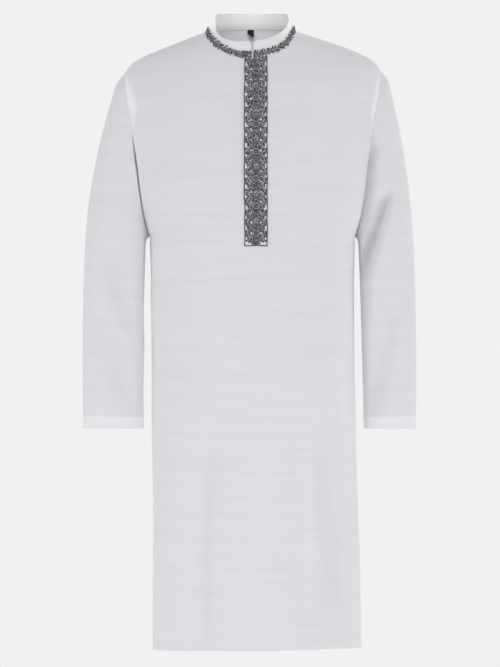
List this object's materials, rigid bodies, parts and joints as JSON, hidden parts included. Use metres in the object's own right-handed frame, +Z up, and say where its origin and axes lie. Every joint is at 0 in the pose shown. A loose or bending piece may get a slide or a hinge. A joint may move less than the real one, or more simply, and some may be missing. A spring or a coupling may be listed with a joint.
{
  "type": "kurta tunic",
  "caption": "Long straight tunic of thin cloth, filled out as worn, with a band collar, an embroidered half placket, long set-in sleeves and side slits.",
  "frame": {"origin": "middle of the neck base, level with the side neck points of the shoulder line, where the wearer's shoulders and neck carry the garment", "axes": "+Z up along the garment's length, front facing -Y, the wearer's left side at +X"},
  "size_m": [0.5762, 0.2373, 1.1021],
  "materials": {
    "white_slub_cloth": "matt woven cloth with horizontal slubs",
    "grey_embroidery_thread": "dense grey machine embroidery, satin thread",
    "black_label_tape": "matt woven tape, blank"
  },
  "bodies": {
    "root": {"front": "white_slub_cloth", "back": "white_slub_cloth", "sleeve_left": "white_slub_cloth", "sleeve_right": "white_slub_cloth", "collar": "white_slub_cloth", "placket": "white_slub_cloth", "placket_under": "white_slub_cloth", "placket_embroidery": "grey_embroidery_thread", "neck_embroidery": "grey_embroidery_thread", "label": "black_label_tape"}
  },
  "joints": []
}
